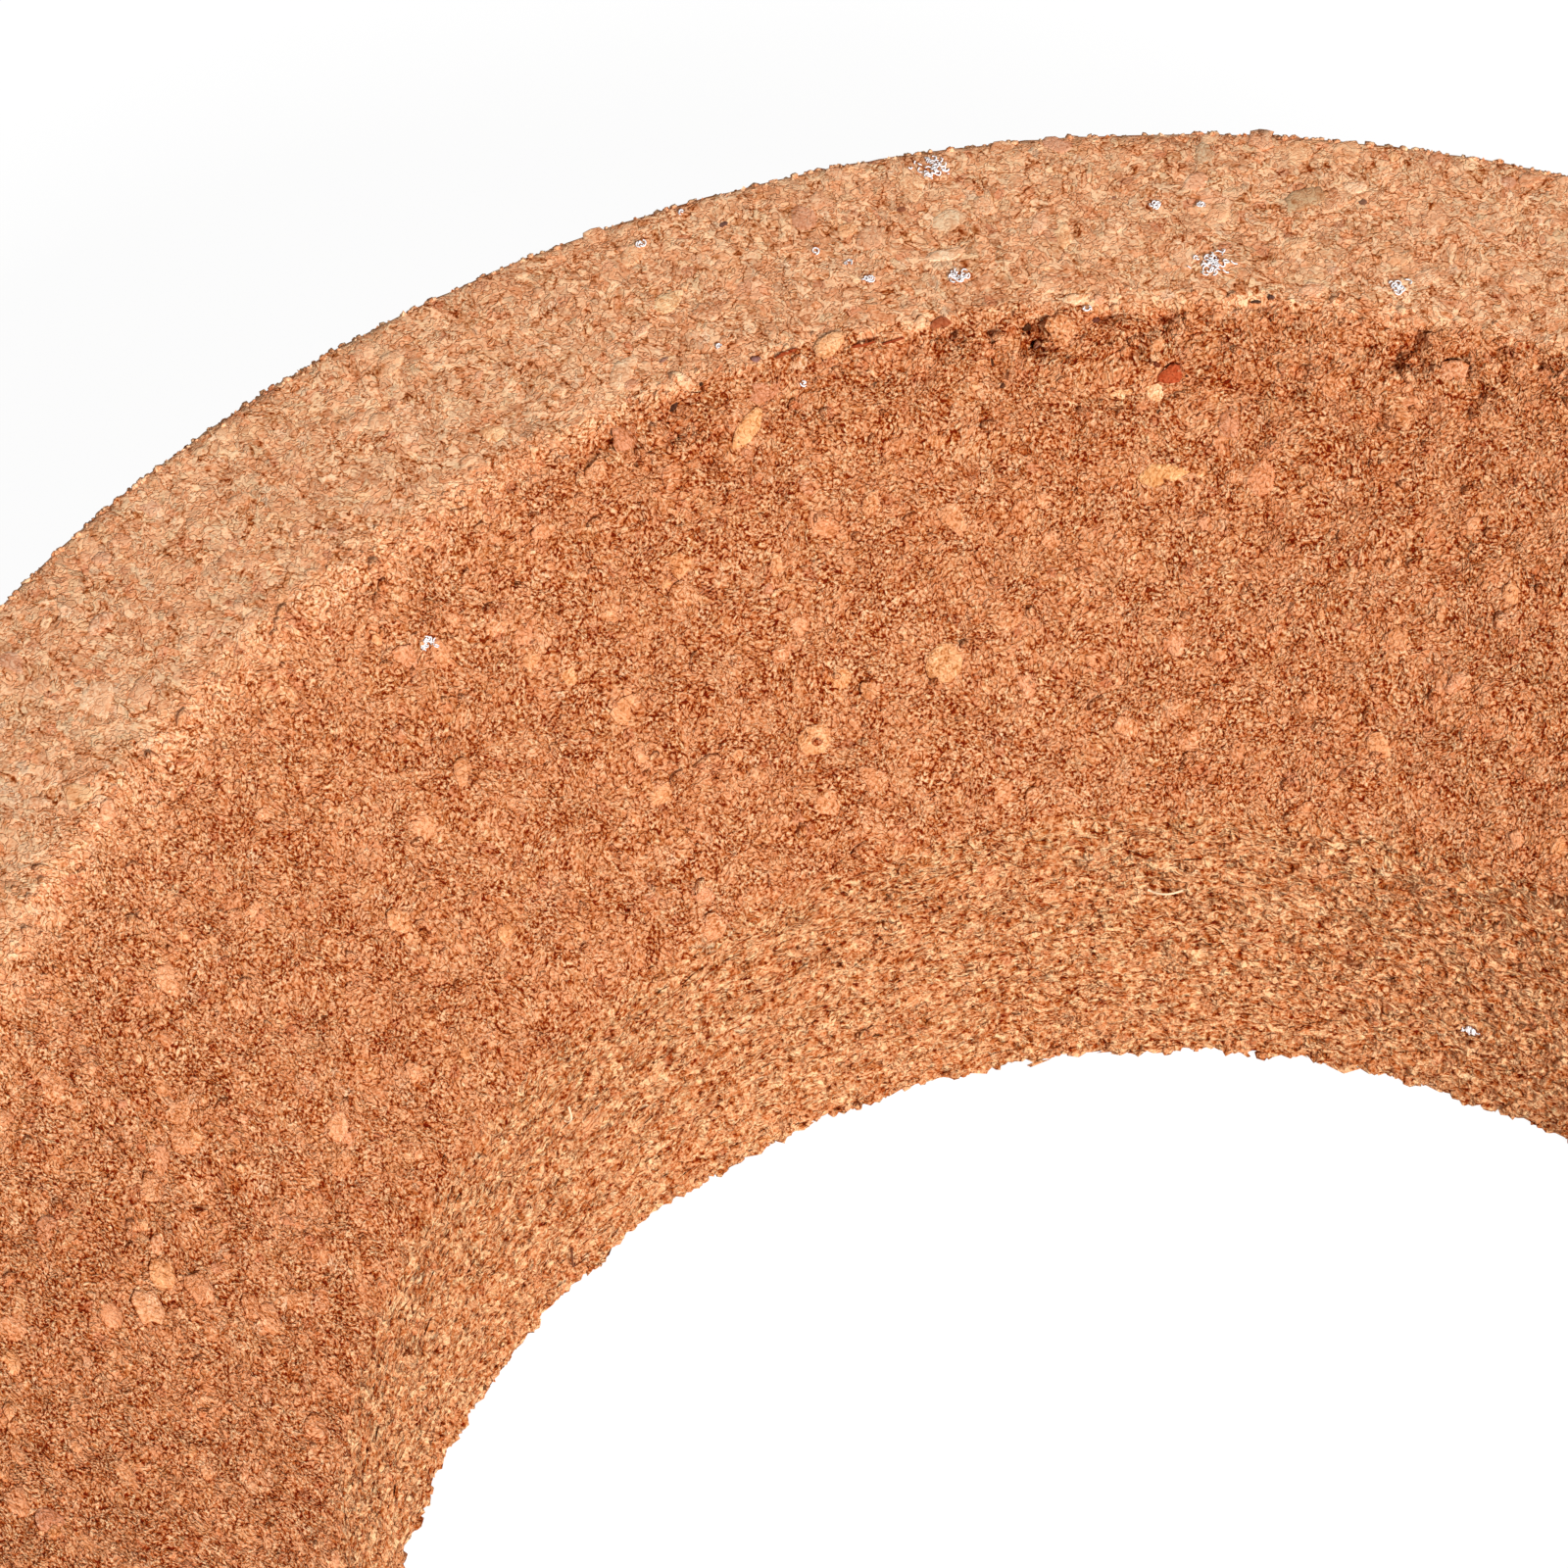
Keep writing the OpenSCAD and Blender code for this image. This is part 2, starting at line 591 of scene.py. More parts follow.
def on_ring(angle, place):
    """Points of the ring before its relief, with the directions outwards, round the axis and along."""
    r, z, out_r, out_z = (np.interp(place, SECTION[:, 0], SECTION[:, i]) for i in range(1, 5))
    c, s = np.cos(angle), np.sin(angle)
    point = np.column_stack((r * c, r * s, z))
    out = np.column_stack((out_r * c, out_r * s, out_z))
    turn = np.column_stack((-s, c, np.zeros_like(c)))
    along = np.column_stack((-out_z * c, -out_z * s, out_r))
    return point, out, turn, along


def row_places():
    """Where along the section each row of the mesh lies."""
    ends = [start for start, pitch in ROW_PITCHES[1:]] + [SECTION_END]
    places = []
    for (start, pitch), end in zip(ROW_PITCHES, ends):
        places.extend(np.linspace(start, end, round((end - start) / pitch), endpoint=False))
    return np.array(places)


def column_angles():
    """Angles round the axis, closer together where the camera is near the ring."""
    fine = np.linspace(0, math.tau, 20 * 360 + 1)
    away = np.abs(wrapped(fine - NEAR_AZIMUTH))
    near = np.clip((NEAR_REACH + NEAR_BLEND - away) / NEAR_BLEND, 0, 1)
    density = 1 + (NEAR_DENSITY - 1) * near * near * (3 - 2 * near)
    share = np.concatenate(([0], np.cumsum((density[1:] + density[:-1]) / 2)))
    return np.interp(np.arange(COLUMNS) / COLUMNS, share / share[-1], fine)


# Cavities below the rim's edge: angle in degrees, place, half length, half width, turn and depth
CAVITIES = (
    (101.3, 9.7, 0.55, 0.35, 0.3, 0.5),
    (100.9, 10.4, 0.6, 0.3, -0.5, 0.7),
    (103.1, 10.9, 0.3, 0.6, 0.2, 0.5),
    (97.9, 9.6, 0.4, 0.3, 0.0, 0.4),
    (90.0, 8.9, 0.8, 0.25, 0.1, 0.25),
    (119.0, 9.6, 0.6, 0.35, 0.4, 0.5),
    (93.4, 11.8, 0.35, 0.25, 0.3, 0.4),
    (83.7, 12.9, 0.35, 0.3, 0.0, 0.5),
    (107.0, 9.6, 0.5, 0.3, 0.0, 0.4),
)


def cavity_depth(angle, place):
    """How deep the cavities are at places on the ring, in millimetres."""
    depth = np.zeros(len(angle))
    for azimuth, spot, length, width, turn, most in CAVITIES:
        x = wrapped(angle - math.radians(azimuth)) * radius_at(spot)
        y = place - spot
        c, s = math.cos(turn), math.sin(turn)
        away = np.hypot((x * c + y * s) / length, (y * c - x * s) / width)
        depth = np.maximum(depth, most * np.clip(1.5 - away, 0, 1))
    return depth


# Room left free round the ring's map and round each small solid's cell, as shares of them
MAP_MARGIN = 0.01
CELL_MARGIN = 0.04


def add_map(mesh, spots):
    """Gives a mesh its map for baked colours: a spot in a unit square for each corner of its faces."""
    mesh.uv_layers.new(name="OFBake").data.foreach_set("uv", spots.astype(np.float32).ravel())


def map_ring(mesh, angle, place):
    """Maps the ring as two strips, each with the section along half a turn."""
    corners = np.zeros(len(mesh.loops), np.int32)
    mesh.loops.foreach_get("vertex_index", corners)
    starts = np.zeros(len(mesh.polygons), np.int32)
    mesh.polygons.foreach_get("loop_start", starts)
    first = np.repeat(corners[starts], np.diff(np.append(starts, len(corners))))
    turn = angle[first] + wrapped(angle[corners] - angle[first])
    half = SECTION_END / 2
    along = place[first] + (place[corners] - place[first] + half) % SECTION_END - half
    strip = (angle[first] >= math.pi).astype(float)
    spots = np.column_stack((turn / math.pi - strip, along / SECTION_END))
    spots = MAP_MARGIN + (1 - 2 * MAP_MARGIN) * spots
    spots[:, 1] = (strip + spots[:, 1]) / 2
    add_map(mesh, spots)


def add_values(mesh, **values):
    """Keeps values in a mesh's points: a number or a vector for each."""
    for name, numbers in values.items():
        kind, key = ("FLOAT_VECTOR", "vector") if numbers.ndim == 2 else ("FLOAT", "value")
        data = mesh.attributes.new(name, kind, "POINT").data
        data.foreach_set(key, numbers.astype(np.float32).ravel())


def row_faces(first, second, span, other):
    """Faces between two rows of the ring, from their first points. A row spans 1 or 2 columns."""
    if span == other:
        columns = COLUMNS // span
        steps = [(k, (k + 1) % columns) for k in range(columns)]
        return [(first + k, first + n, second + n, second + k) for k, n in steps]
    full, half = (first, second) if span == 1 else (second, first)
    faces = []
    for k in range(COLUMNS // 2):
        a, b, c = full + 2 * k, full + 2 * k + 1, full + (2 * k + 2) % COLUMNS
        d, e = half + k, half + (k + 1) % (COLUMNS // 2)
        fan = [(a, b, d), (b, e, d), (b, c, e)]
        faces += fan if span == 1 else [face[::-1] for face in fan]
    return faces


def ring_mesh():
    """The ring before its relief, with its shape and outward directions kept as attributes."""
    rows = row_places()
    angles = column_angles()
    spans = [2 if row >= COARSE_START else 1 for row in rows]
    starts = [0, *np.cumsum([COLUMNS // span for span in spans]).tolist()]
    angle = np.concatenate([angles[::span] for span in spans])
    place = np.repeat(rows, np.diff(starts))
    faces = []
    for i, span in enumerate(spans):
        following = (i + 1) % len(rows)
        faces += row_faces(starts[i], starts[following], span, spans[following])
    rest, out = on_ring(angle, place)[:2]
    mesh = bpy.data.meshes.new("ring")
    mesh.from_pydata(rest * MM, [], faces)
    values = {"rest": rest, "root": rest, "out": out, "along": place, "hue": np.ones_like(rest)}
    add_values(mesh, **values, cavity=cavity_depth(angle, place))
    map_ring(mesh, angle, place)
    return mesh


# ------------ bits: crumbs, granules and strands


def face_spots(faces):
    """Places in a unit square for the corners of a solid's faces, two faces to each small square."""
    columns = math.ceil(math.sqrt(len(faces) / 2))
    rows = math.ceil(len(faces) / 2 / columns)
    halves = ([(0.1, 0.1), (0.8, 0.1), (0.1, 0.8)], [(0.9, 0.9), (0.2, 0.9), (0.9, 0.2)])
    spots = []
    for i in range(len(faces)):
        x, y = i // 2 % columns, i // 2 // columns
        spots += [((x + u) / columns, (y + v) / rows) for u, v in halves[i % 2]]
    return np.array(spots)


def map_cells(mesh, count, spots):
    """Maps a mesh of count like solids, with a cell for each solid."""
    side = math.ceil(math.sqrt(count))
    cell = np.column_stack((np.arange(count) % side, np.arange(count) // side))
    add_map(mesh, (cell[:, None] + CELL_MARGIN + (1 - 2 * CELL_MARGIN) * spots) / side)


def bits_mesh(name, angle, place, shapes, faces, spots, **values):
    """One mesh of many small solids on the ring.

    Each solid has its own angle and place and a shape: points in millimetres round the axis, along the
    section and outwards. All have the same faces, whose corners have spots in the map for baked colours.
    A value is given for each solid or for each point.
    """
    count, size = shapes.shape[:2]
    point, out, turn, along = (v[:, None] for v in on_ring(angle, place))
    rest = point + shapes[:, :, :1] * turn + shapes[:, :, 1:2] * along + shapes[:, :, 2:] * out
    mesh = bpy.data.meshes.new(name)
    first = np.arange(count)[:, None, None] * size
    mesh.from_pydata(rest.reshape(-1, 3) * MM, [], (first + np.array(faces)).reshape(-1, 3))
    map_cells(mesh, count, spots)
    values = {"hue": np.ones((count, 3)), "bit": np.ones(count), **values}
    values |= {"root": point[:, 0], "out": out[:, 0], "along": place, "cavity": cavity_depth(angle, place)}
    for key, value in values.items():
        each = value.ravel() if value.shape == (count, size) else np.repeat(value, size, axis=0)
        add_values(mesh, **{key: each})
    add_values(mesh, rest=rest.reshape(-1, 3))
    return mesh


# The share of the bits that the far side keeps
FAR_SHARE = 0.5


def scattered(rng, density):
    """Angles and places spread over the ring, with so many to a square millimetre at places along it."""
    step = 0.05
    place = np.arange(density[0][0], density[-1][0], step)
    share = np.interp(place, *zip(*density)) * radius_at(place)
    total = share.sum() * step * math.tau
    sums = np.concatenate(([0], np.cumsum(share))) / share.sum()
    found = np.interp(rng.random(int(total)), sums, np.append(place, density[-1][0]))
    return rng.random(len(found)) * math.tau, found


def scattered_near(rng, density):
    """The same, but only a share of them on the far side."""
    angle, place = scattered(rng, density)
    share = np.where(np.abs(wrapped(angle - NEAR_AZIMUTH)) < NEAR_REACH, 1, FAR_SHARE)
    kept = rng.random(len(place)) < share
    return angle[kept], place[kept]


def turned(shapes, turn):
    """Shapes turned about their outward direction."""
    c, s = np.cos(turn)[:, None], np.sin(turn)[:, None]
    x, y = shapes[:, :, 0] * c - shapes[:, :, 1] * s, shapes[:, :, 0] * s + shapes[:, :, 1] * c
    return np.stack((x, y, shapes[:, :, 2]), axis=2)


# How many crumbs there are to a square millimetre at places along the section
CRUMB_DENSITY = (
    (0.0, 5.0),
    (0.5, 0.0),
    (SEAT_START - 0.8, 0.0),
    (SEAT_START + 0.3, 5.0),
    (SEAT_START + 6, 3.5),
    (BORE_START - 2, 3.5),
    (BORE_START + 1, 3.5),
    (BASE_START - 0.2, 8.0),
    (BASE_START + 0.3, 0.0),
)
CRUMB_ENDS = np.array([(-1, 0, 0), (1, 0, 0), (0, -1, 0), (0, 1, 0), (0, 0, 1), (0, 0, -1)], float)
CRUMB_FACES = [(0, 2, 4), (2, 1, 4), (1, 3, 4), (3, 0, 4), (2, 0, 5), (1, 2, 5), (3, 1, 5), (0, 3, 5)]


def crumb_spots():
    """Where the corners of a crumb's faces lie in a unit square: the upper four amid the lower four."""
    spots = []
    for first, second, tip in CRUMB_FACES:
        ends = CRUMB_ENDS[[first, second], :2]
        spots += [*ends, ends.sum(axis=0) * (tip == 5)]
    return 0.5 + 0.5 * np.array(spots)


def crumb_shapes(rng, place):
    """Lopsided octahedra, half sunk in the surface: crumbs on the seat, long shreds in the bore."""
    count = len(place)
    bore = np.clip((place - BORE_START + 1) / 2, 0, 1)
    crumb = 0.08 + 0.16 * rng.random(count) ** 2
    shred = 0.2 + 0.5 * rng.random(count) ** 1.5
    length = crumb * (1 - bore) + shred * bore
    width = np.minimum(length, 0.24) * rng.uniform(0.45, 0.8, count)
    reach = np.column_stack((length, width, width * rng.uniform(0.6, 1.1, count)))
    shapes = CRUMB_ENDS * reach[:, None] * rng.uniform(0.7, 1.3, (count, 6, 1))
    shapes[:, 2:, 0] += rng.uniform(-0.5, 0.5, (count, 4)) * reach[:, :1]
    shapes[:, 4:, 1] += rng.uniform(-0.5, 0.5, (count, 2)) * reach[:, 1:2]
    shapes[:, :4, 2] -= rng.uniform(0.1, 0.6, (count, 4)) * reach[:, 2:]
    return turned(shapes, rng.normal(0, 1, count) * (2 - 1.7 * bore))


def add_crumbs(seed, parts):
    """Crumbs of torn cork on the seat, shreds in the bore, and a line of crumbs on the outer edge."""
    rng = np.random.default_rng(seed)
    angle, place = scattered_near(rng, CRUMB_DENSITY)
    shapes = crumb_shapes(rng, place)
    shade = rng.normal(0.1, 0.1, len(place))
    order = np.argsort(angle)
    spots = crumb_spots()
    for i in range(parts):
        some = order[i * len(order) // parts : (i + 1) * len(order) // parts]
        where = (angle[some], place[some], shapes[some])
        mesh = bits_mesh(f"crumbs_{i + 1}", *where, CRUMB_FACES, spots, shade=shade[some])
        dress(mesh, CORK, smooth=False)


LUMP_DENSITY = (
    (-0.4, 8.0),
    (0.15, 8.0),
    (0.25, 0.0),
    (SEAT_START - 1.0, 0.0),
    (SEAT_START + 0.2, 0.8),
    (SEAT_START + 5, 0.25),
    (BORE_START, 0.3),
    (BASE_START - 1.5, 0.8),
    (BASE_START - 0.3, 4.0),
    (BASE_START + 0.2, 0.0),
)


def icosahedron():
    """Points and faces of an icosahedron of radius 1."""
    golden = (1 + math.sqrt(5)) / 2
    points = [(0, s, t * golden) for s in (-1, 1) for t in (-1, 1)]
    points += [(s, t * golden, 0) for s in (-1, 1) for t in (-1, 1)]
    points += [(t * golden, 0, s) for s in (-1, 1) for t in (-1, 1)]
    points = np.array(points)
    faces = []
    for a in range(12):
        for b in range(a + 1, 12):
            for c in range(b + 1, 12):
                sides = (points[a] - points[b], points[b] - points[c], points[c] - points[a])
                if all(np.linalg.norm(side) < 2.1 for side in sides):
                    outward = np.cross(points[b] - points[a], points[c] - points[a]) @ points[a] > 0
                    faces.append((a, b, c) if outward else (a, c, b))
    return points / math.hypot(1, golden), faces


def add_lumps(seed):
    """Rounded lumps of cork on the crumbled band and on the edges, where they make the outline rough."""
    rng = np.random.default_rng(seed)
    angle, place = scattered_near(rng, LUMP_DENSITY)
    count = len(place)
    ball, faces = icosahedron()
    size = 0.09 + 0.24 * rng.random(count) ** 2
    size *= np.where(place < 1, 0.6, 1)
    reach = size[:, None] * np.column_stack((rng.uniform(0.9, 1.6, count), np.ones((count, 2)) * 0.8))
    shapes = ball * reach[:, None] * rng.uniform(0.72, 1.25, (count, 12, 1))
    shapes = turned(shapes, rng.normal(0, 1, count))
    shade = rng.normal(0.03, 0.08, count)
    mesh = bits_mesh("lumps", angle, place % SECTION_END, shapes, faces, face_spots(faces), shade=shade)
    dress(mesh, CORK)


GRANULE_SIDES = 10
# Granules and dark gaps that stand out in the photo: angle in degrees, place, length, width, turn, colour
GRANULES = (
    (103.9, 3.9, 1.3, 1.2, 0.3, (205, 168, 130)),
    (88.3, 3.4, 1.9, 1.1, 0.5, (166, 128, 90)),
    (92.7, 1.3, 1.2, 0.8, 1.2, (172, 138, 104)),
    (104.4, 5.6, 1.5, 0.7, 0.1, (226, 186, 148)),
    (96.7, 12.2, 1.7, 1.2, 0.2, (236, 200, 150)),
    (95.2, 12.3, 1.1, 0.9, 0.0, (240, 206, 160)),
    (117.0, 4.7, 1.3, 1.0, 0.4, (236, 196, 144)),
    (115.9, 11.2, 2.0, 0.8, 0.6, (230, 184, 128)),
    (94.8, 15.6, 2.1, 0.9, 0.1, (226, 182, 122)),
    (129.6, 17.1, 1.5, 1.1, 0.9, (222, 172, 122)),
    (108.4, 22.0, 1.8, 1.4, 0.5, (216, 170, 120)),
    (117.5, 23.5, 1.6, 1.2, 0.7, (220, 170, 122)),
    (176.6, 19.2, 1.6, 1.3, 0.5, (228, 180, 140)),
    (120.5, 7.2, 2.0, 0.9, 0.7, (226, 180, 138)),
    (94.3, 11.7, 1.1, 0.7, 0.4, (150, 50, 20)),
    (100.6, 10.3, 0.9, 0.5, 0.8, (140, 104, 96)),
    (99.0, 8.6, 0.9, 0.6, 0.3, (232, 190, 146)),
    (110.9, 8.9, 1.3, 1.0, 0.5, (222, 178, 130)),
    (112.5, 9.3, 0.8, 0.6, 0.5, (214, 190, 160)),
    (150.0, 6.0, 1.8, 1.3, 0.5, (230, 180, 138)),
    # The next nineteen rows are painted shade: thin dark lines in the crease under the rim's edge, and
    # near-black spots in its cavities and pits
    (113.0, 8.8, 1.0, 0.16, 0.15, (120, 34, 8)),
    (110.9, 9.1, 1.2, 0.14, 0.15, (110, 30, 8)),
    (109.3, 9.2, 1.0, 0.16, 0.0, (120, 34, 8)),
    (107.8, 9.3, 1.0, 0.12, 0.1, (110, 30, 8)),
    (105.4, 8.9, 0.8, 0.5, 0.2, (120, 50, 24)),
    (101.2, 9.6, 0.4, 0.25, 0.3, (20, 8, 4)),
    (101.2, 10.3, 0.35, 0.2, 0.0, (14, 6, 4)),
    (103.1, 10.8, 0.15, 0.4, 0.2, (30, 12, 6)),
    (102.8, 11.7, 0.25, 0.15, 0.6, (40, 16, 8)),
    (97.9, 9.5, 0.4, 0.25, 0.2, (60, 30, 30)),
    (99.3, 9.8, 0.5, 0.3, 0.0, (100, 56, 44)),
    (90.2, 8.7, 0.4, 0.15, 0.1, (20, 10, 8)),
    (89.5, 8.5, 0.3, 0.2, -0.4, (40, 24, 24)),
    (83.7, 12.9, 0.25, 0.2, 0.0, (14, 6, 4)),
    (93.4, 11.7, 0.35, 0.2, 0.4, (30, 12, 8)),
    (95.0, 11.3, 0.35, 0.2, -0.4, (70, 20, 8)),
    (118.9, 9.5, 0.45, 0.3, 0.6, (24, 12, 12)),
    (117.4, 9.0, 0.16, 0.14, 0.0, (20, 8, 4)),
    (114.2, 11.7, 0.18, 0.16, 0.0, (14, 6, 4)),
    (114.5, 8.7, 0.4, 0.35, 0.0, (84, 48, 50)),
    (113.3, 1.8, 0.4, 0.25, 0.5, (60, 36, 34)),
    (118.5, 7.3, 0.4, 0.2, 0.3, (110, 72, 64)),
    (105.8, 3.0, 0.4, 0.3, 0.0, (110, 56, 36)),
    (102.2, 3.2, 0.3, 0.2, 0.5, (76, 46, 46)),
    (85.8, 3.3, 0.35, 0.3, 0.0, (80, 54, 44)),
    (96.6, 3.5, 0.18, 0.16, 0.0, (100, 60, 50)),
)
GRANULE_COLOURS = (
    (226, 172, 130),
    (220, 164, 120),
    (214, 156, 116),
    (232, 184, 144),
    (224, 164, 130),
    (216, 166, 122),
    (232, 182, 124),
    (228, 176, 126),
    (200, 140, 102),
    (176, 120, 98),
)
# The cork's own mean colour, and how far placed and scattered granules go from it to theirs
GRANULE_BASE = (214, 154, 112)
PLACED_STRENGTH = 0.65
SCATTERED_STRENGTH = 0.4
GRANULE_DENSITY = (
    (0.3, 0.2),
    (SEAT_START - 0.5, 0.2),
    (SEAT_START + 1, 0.13),
    (BORE_START - 1, 0.13),
    (BORE_START + 1, 0.03),
    (BASE_START - 1, 0.03),
    (BASE_START + 0.5, 0.04),
    (SECTION_END - 0.5, 0.04),
)


def granule_shapes(rng, reach, place):
    """Flat, softly domed granules of uneven outline, nearly flush with the surface."""
    phi = np.arange(GRANULE_SIDES) / GRANULE_SIDES * math.tau
    outline = np.ones((len(reach), GRANULE_SIDES))
    for waves, size in ((2, 0.1), (3, 0.12), (4, 0.08), (6, 0.06)):
        phase = rng.random((len(reach), 1)) * math.tau
        outline += size * rng.random((len(reach), 1)) * 1.6 * np.cos(waves * phi + phase)
    x, y = outline * np.cos(phi) * reach[:, :1], outline * np.sin(phi) * reach[:, 1:]
    rise = rng.uniform(0.03, 0.08, (len(reach), 1)) * np.where(place < SEAT_START - 0.3, 0.35, 1)[:, None]
    rings = [(0.7, rise), (0.95, rise * 0.4), (1.0, rise * -0.6), (0.8, -0.3 - rise)]
    shapes = [np.stack((x * share, y * share, z + 0 * x), axis=2) for share, z in rings]
    top = np.zeros((len(reach), 1, 3))
    top[:, 0, 2] = rise[:, 0] * 1.15
    return np.concatenate((top, *shapes), axis=1)


def granule_spots(faces):
    """Where the corners of a granule's faces lie in a unit square: its rings, one inside the other."""
    phi = np.arange(GRANULE_SIDES) / GRANULE_SIDES * math.tau
    circle = np.column_stack((np.cos(phi), np.sin(phi)))
    points = np.concatenate([[(0, 0)]] + [circle * reach for reach in (0.28, 0.36, 0.42, 0.48)])
    return 0.5 + points[np.array(faces).ravel()]


def ring_faces(sides, rings, first=1):
    """Faces between rings of points, one ring after the other, from point number first."""
    faces = []
    for ring in range(rings - 1):
        for k in range(sides):
            a, b = first + ring * sides + k, first + ring * sides + (k + 1) % sides
            faces += [(a, a + sides, b), (b, a + sides, b + sides)]
    return faces


def cap_faces(sides, tip, first, outward=True):
    """A fan between a point and the ring of points that starts at first."""
    pairs = [(first + k, first + (k + 1) % sides) for k in range(sides)]
    return [(tip, a, b) if outward else (tip, b, a) for a, b in pairs]


def placed_granules():
    """Angle, place, half length and width, turn and colour of those that stand out in the photo."""
    rows = []
    for azimuth, place, length, width, turn, screen in GRANULES:
        rows.append((math.radians(azimuth), place, length / 2, width / 2, turn, *linear(*screen)))
    return np.array(rows)


def scattered_granules(rng):
    """The same for other granules like them all over the ring."""
    angle, place = scattered(rng, GRANULE_DENSITY)
    length = 0.22 + 0.5 * rng.random(len(angle)) ** 1.6
    width = length * rng.uniform(0.55, 0.95, len(angle))
    turn = rng.random(len(angle)) * math.tau
    colours = np.array([linear(*screen) for screen in GRANULE_COLOURS])
    colour = colours[rng.integers(0, len(colours), len(angle))]
    return np.column_stack((angle, place, length, width, turn, colour))


def add_granules(seed):
    """Smooth granules and dark spots of painted shade: those that stand out in the photo, and other
    granules like them elsewhere.
    """
    rng = np.random.default_rng(seed)
    rows = np.concatenate((placed_granules(), scattered_granules(rng)))
    angle, place, reach, turn, colour = rows[:, 0], rows[:, 1], rows[:, 2:4], rows[:, 4], rows[:, 5:]
    shapes = turned(granule_shapes(rng, reach, place), turn)
    is_placed = np.arange(len(rows)) < len(GRANULES)
    smooth = np.zeros(shapes.shape[:2])
    smooth += np.where(is_placed, 0.95, rng.uniform(0.5, 0.95, len(rows)))[:, None]
    shade = np.zeros(shapes.shape[:2])
    # From this point on, a granule's points are its foot, which is rougher and painted darker, as painted
    # shade where it meets the surface
    sunk = 1 + 2 * GRANULE_SIDES
    smooth[:, sunk:] = 0.3
    shade[:, sunk:] = -0.35
    strength = np.where(is_placed, PLACED_STRENGTH, SCATTERED_STRENGTH)[:, None]
    values = {"smooth": smooth, "shade": shade, "hue": (colour / linear(*GRANULE_BASE)) ** strength}
    faces = cap_faces(GRANULE_SIDES, 0, 1) + ring_faces(GRANULE_SIDES, 4)
    # The granules mesh also holds the dark spots of painted shade listed above
    mesh = bits_mesh("granules", angle, place, shapes, faces, granule_spots(faces), **values)
    dress(mesh, CORK)


# Bits of white lint caught on the ring: angle in degrees, place and reach
LINT = (
    (104.1, 1.2, 0.6),
    (92.3, 6.9, 0.65),
    (108.1, 6.2, 0.16),
    (104.0, 6.8, 0.35),
    (83.7, 7.4, 0.3),
    (135.9, 13.2, 0.3),
    (71.3, 40.3, 0.25),
    (94.8, 4.0, 0.14),
    (92.9, 4.0, 0.1),
    (108.8, 5.2, 0.07),
    (110.0, 4.3, 0.05),
    (115.8, 7.6, 0.09),
    (114.7, 0.7, 0.05),
    (116.9, 1.6, 0.1),
    (112.6, 10.1, 0.05),
    (98.3, 9.0, 0.07),
)
LINT_COLOUR = (244, 240, 240)
LINT_RADIUS = 0.03
STRAND_SIDES = 5
STRAND_POINTS = 8


def tube_shapes(paths, radius):
    """Thin tubes along paths of points, with a point at each end."""
    along = np.gradient(paths, axis=1)
    along /= np.linalg.norm(along, axis=2, keepdims=True)
    side = np.cross(along, (0.3, 0.2, 1.0))
    side /= np.linalg.norm(side, axis=2, keepdims=True)
    up = np.cross(side, along)
    rings = []
    for k in range(STRAND_SIDES):
        c, s = math.cos(k / STRAND_SIDES * math.tau), math.sin(k / STRAND_SIDES * math.tau)
        rings.append(paths + radius * (c * side + s * up))
    tube = np.stack(rings, axis=2).reshape(len(paths), -1, 3)
    start = paths[:, :1] - along[:, :1] * radius
    end = paths[:, -1:] + along[:, -1:] * radius
    return np.concatenate((tube, start, end), axis=1)


def tube_faces():
    """Faces of one such tube."""
    sides, rings = STRAND_SIDES, STRAND_POINTS
    tips = sides * rings
    faces = ring_faces(sides, rings, 0)
    return faces + cap_faces(sides, tips, 0, False) + cap_faces(sides, tips + 1, tips - sides)


def add_lint(seed):
    """Clusters of short curled white fibres."""
    rng = np.random.default_rng(seed)
    spots, paths = [], []
    t = np.linspace(0, 1, STRAND_POINTS)
    for azimuth, place, reach in LINT:
        for _ in range(max(3, round(60 * reach))):
            radius = rng.uniform(0.05, 0.16)
            sweep = rng.uniform(1.5, 3.5)
            start = rng.random() * math.tau
            x, y = rng.normal(0, reach / 2.4, 2)
            arc = start + sweep * t
            lift = 0.05 + 0.06 * rng.random() + 0.03 * np.sin(arc * 2 + start)
            paths.append(np.column_stack((x * 1.3 + radius * np.cos(arc), y + radius * np.sin(arc), lift)))
            spots.append((math.radians(azimuth), place))
    shapes = tube_shapes(np.array(paths), LINT_RADIUS)
    faces = tube_faces()
    mesh = bits_mesh("lint", *np.array(spots).T, shapes, faces, face_spots(faces))
    dress(mesh, plain_material("lint", linear(*LINT_COLOUR))[0])


# Loose fibres: their colour, and for each its angle in degrees, place, length, turn and bend
FIBRES = {
    "pale_fibre": ((238, 208, 170), ((93.0, 33.8, 1.6, -0.5, 0.9), (143.4, 32.4, 0.9, 0.8, 0.8))),
    "dark_fibre": ((110, 60, 34), ((143.7, 42.6, 1.6, 0.3, 2.4),)),
}
FIBRE_RADIUS = 0.05


def fibre_path(length, turn, bend):
    """An arc over the surface, as points of a strand."""
    t = np.linspace(0, 1, STRAND_POINTS)
    heading = turn + bend * t
    x = np.cumsum(np.cos(heading)) * length / STRAND_POINTS
    y = np.cumsum(np.sin(heading)) * length / STRAND_POINTS
    return np.column_stack((x, y, 0.15 + 0.3 * np.sin(t * math.pi)))


